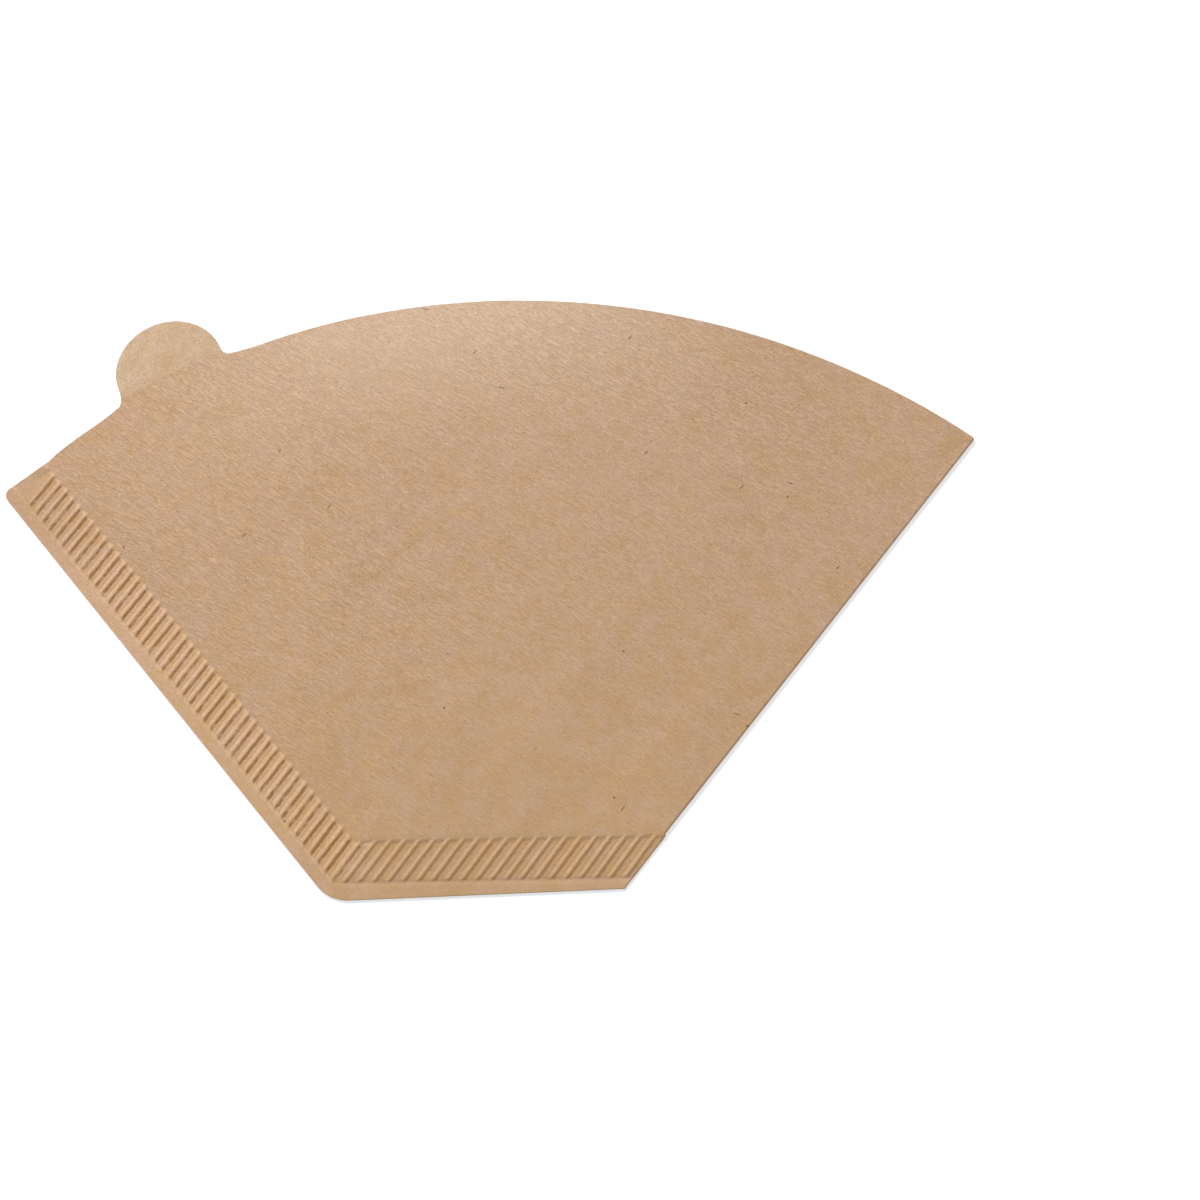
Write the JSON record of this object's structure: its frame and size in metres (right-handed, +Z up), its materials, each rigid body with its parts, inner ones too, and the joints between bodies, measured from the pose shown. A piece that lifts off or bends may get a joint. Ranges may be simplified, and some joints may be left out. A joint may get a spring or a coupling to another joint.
{
  "type": "paper coffee filter",
  "caption": "Cone coffee filter of creped brown paper, folded flat, with crimped side and foot, a folded edge, a mouth that gapes a little and a round pull tab.",
  "frame": {"origin": "middle of the bounding box on the flat underside of the back wall", "axes": "+Z up from the back wall through the front wall, +Y from the crimped foot to the curved mouth edge, +X from the crimped side to the folded side"},
  "size_m": [0.1595, 0.1046, 0.0068],
  "materials": {
    "paper": "matte creped brown paper"
  },
  "bodies": {
    "root": {"filter": "paper"}
  },
  "joints": []
}
